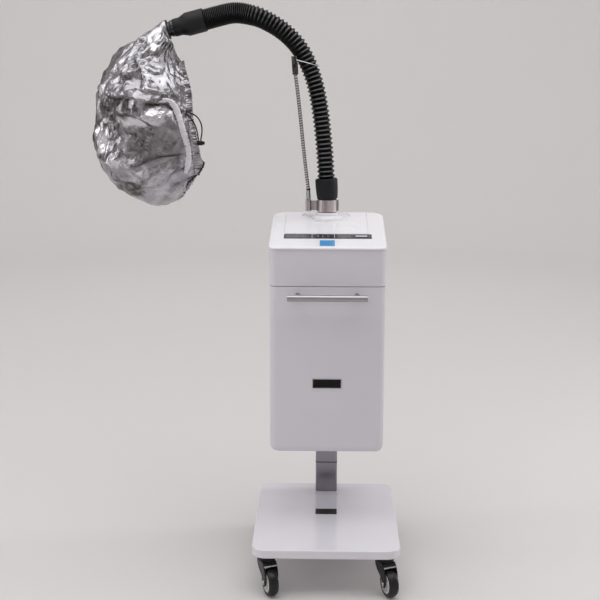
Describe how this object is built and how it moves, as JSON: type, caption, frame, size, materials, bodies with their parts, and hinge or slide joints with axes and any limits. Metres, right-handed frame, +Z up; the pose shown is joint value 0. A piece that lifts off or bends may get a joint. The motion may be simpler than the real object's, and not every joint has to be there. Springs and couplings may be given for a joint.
{
  "type": "hair steamer",
  "caption": "Tall white cabinet on a post and wheeled base, with a ribbed steam hose on a gooseneck that arches over to a crumpled foil hood.",
  "frame": {"origin": "middle of the bounding box, on the floor", "axes": "+Z up, -Y towards the front with the handle, -X towards the hood"},
  "size_m": [0.6908, 0.5078, 1.2518],
  "materials": {
    "white_board": "white lacquer",
    "white_gloss": "gloss",
    "white_satin": "satin",
    "black_plastic": "satin",
    "black_gloss": "gloss",
    "black_rubber": "matt",
    "satin_steel": "satin",
    "chrome": "polished",
    "silver_foil": "crumpled metallised cloth",
    "black_cord": "woven",
    "circuit_board": "lacquered",
    "milky_plastic": "translucent",
    "silicone": "smooth"
  },
  "bodies": {
    "stand": {"base_plate": "white_board", "post_foot": "satin_steel", "post": "satin_steel", "cabinet_shell": "white_gloss", "top_cover": "white_gloss", "outlet_spigot": "white_gloss", "control_strip": "black_gloss", "equipment_shelf": "white_satin", "boiler": "satin_steel", "steam_pipe": "satin_steel", "pump": "black_plastic", "control_board": "circuit_board", "feed_tube": "silicone", "mains_inlet": "black_plastic", "drawer_runner_left": "satin_steel", "drawer_runner_right": "satin_steel", "caster_front_left_plate": "black_plastic", "caster_front_right_plate": "black_plastic", "caster_rear_left_plate": "black_plastic", "caster_rear_right_plate": "black_plastic"},
    "caster_front_left_swivel": {"caster_front_left_fork": "black_plastic", "caster_front_left_axle": "satin_steel"},
    "caster_front_left_roller": {"caster_front_left_wheel": "black_rubber"},
    "caster_front_right_swivel": {"caster_front_right_fork": "black_plastic", "caster_front_right_axle": "satin_steel"},
    "caster_front_right_roller": {"caster_front_right_wheel": "black_rubber"},
    "caster_rear_left_swivel": {"caster_rear_left_fork": "black_plastic", "caster_rear_left_axle": "satin_steel"},
    "caster_rear_left_roller": {"caster_rear_left_wheel": "black_rubber"},
    "caster_rear_right_swivel": {"caster_rear_right_fork": "black_plastic", "caster_rear_right_axle": "satin_steel"},
    "caster_rear_right_roller": {"caster_rear_right_wheel": "black_rubber"},
    "drawer": {"drawer_front": "white_gloss", "drawer_tray": "white_satin", "handle_bar": "satin_steel", "handle_standoff_left": "satin_steel", "handle_standoff_right": "satin_steel", "nameplate": "black_gloss", "water_tank": "milky_plastic"},
    "cap": {"tank_cap": "black_plastic"},
    "timer_button": {"key_timer": "black_gloss"},
    "heat_button": {"key_heat": "black_gloss"},
    "power_button": {"key_power": "black_gloss"},
    "rocker": {"rocker_switch": "black_plastic"},
    "arm": {"strap_clamp": "satin_steel", "lower_cuff": "black_plastic", "hose": "black_rubber", "gooseneck_ferrule": "chrome", "gooseneck": "chrome", "gooseneck_tip": "chrome", "wire_loop": "chrome", "upper_cuff": "black_plastic", "nozzle": "black_gloss"},
    "hood": {"hood_shell": "silver_foil", "hood_hem": "silver_foil", "hood_neck_ring": "black_rubber", "drawstring_outer": "black_cord", "drawstring_inner": "black_cord", "cord_lock_body": "black_plastic"},
    "cord_lock_button": {"cord_lock_plunger": "black_plastic"}
  },
  "joints": [
    {"name": "caster_front_left_swivel_turn", "type": "hinge", "parent": "stand", "child": "caster_front_left_swivel", "pos_m": [0.05745, -0.20111, 0.0861], "axis": [0, 0, 1], "continuous": true},
    {"name": "caster_front_left_wheel_spin", "type": "hinge", "parent": "caster_front_left_swivel", "child": "caster_front_left_roller", "pos_m": [0.06644, -0.22336, 0.03], "axis": [0.9272, 0.3746, 0], "continuous": true},
    {"name": "caster_front_right_swivel_turn", "type": "hinge", "parent": "stand", "child": "caster_front_right_swivel", "pos_m": [0.31345, -0.20111, 0.0861], "axis": [0, 0, 1], "continuous": true},
    {"name": "caster_front_right_wheel_spin", "type": "hinge", "parent": "caster_front_right_swivel", "child": "caster_front_right_roller", "pos_m": [0.32244, -0.22336, 0.03], "axis": [0.9272, 0.3746, 0], "continuous": true},
    {"name": "caster_rear_left_swivel_turn", "type": "hinge", "parent": "stand", "child": "caster_rear_left_swivel", "pos_m": [0.05745, 0.15489, 0.0861], "axis": [0, 0, 1], "continuous": true},
    {"name": "caster_rear_left_wheel_spin", "type": "hinge", "parent": "caster_rear_left_swivel", "child": "caster_rear_left_roller", "pos_m": [0.06644, 0.13264, 0.03], "axis": [0.9272, 0.3746, 0], "continuous": true},
    {"name": "caster_rear_right_swivel_turn", "type": "hinge", "parent": "stand", "child": "caster_rear_right_swivel", "pos_m": [0.31345, 0.15489, 0.0861], "axis": [0, 0, 1], "continuous": true},
    {"name": "caster_rear_right_wheel_spin", "type": "hinge", "parent": "caster_rear_right_swivel", "child": "caster_rear_right_roller", "pos_m": [0.32244, 0.13264, 0.03], "axis": [0.9272, 0.3746, 0], "continuous": true},
    {"name": "drawer_slide", "type": "slide", "parent": "stand", "child": "drawer", "axis": [0, -1, 0], "range_m": [0, 0.17]},
    {"name": "tank_cap_turn", "type": "hinge", "parent": "drawer", "child": "cap", "pos_m": [0.18545, -0.03881, 0.5], "axis": [0, 0, 1], "range_deg": [0, 90]},
    {"name": "key_timer_press", "type": "slide", "parent": "stand", "child": "timer_button", "axis": [0, 0.1535, -0.9881], "range_m": [0, 0.0006], "stiffness_N_per_m": 800},
    {"name": "key_heat_press", "type": "slide", "parent": "stand", "child": "heat_button", "axis": [0, 0.1535, -0.9881], "range_m": [0, 0.0006], "stiffness_N_per_m": 800},
    {"name": "key_power_press", "type": "slide", "parent": "stand", "child": "power_button", "axis": [0, 0.1535, -0.9881], "range_m": [0, 0.0006], "stiffness_N_per_m": 800},
    {"name": "rocker_switch_tilt", "type": "hinge", "parent": "stand", "child": "rocker", "pos_m": [0.27195, 0.16689, 0.3391], "axis": [1, 0, 0], "range_deg": [0, 10]},
    {"name": "arm_swivel", "type": "hinge", "parent": "stand", "child": "arm", "pos_m": [0.18395, 0.13189, 0.8], "axis": [0, 0, 1], "range_deg": [-90, 90]},
    {"name": "hood_swivel", "type": "hinge", "parent": "arm", "child": "hood", "pos_m": [-0.17983, 0.13189, 1.19437], "axis": [-0.9664, 0, -0.257], "range_deg": [-40, 40]},
    {"name": "cord_lock_press", "type": "slide", "parent": "hood", "child": "cord_lock_button", "axis": [-1, 0, 0], "range_m": [0, 0.003], "stiffness_N_per_m": 300}
  ]
}
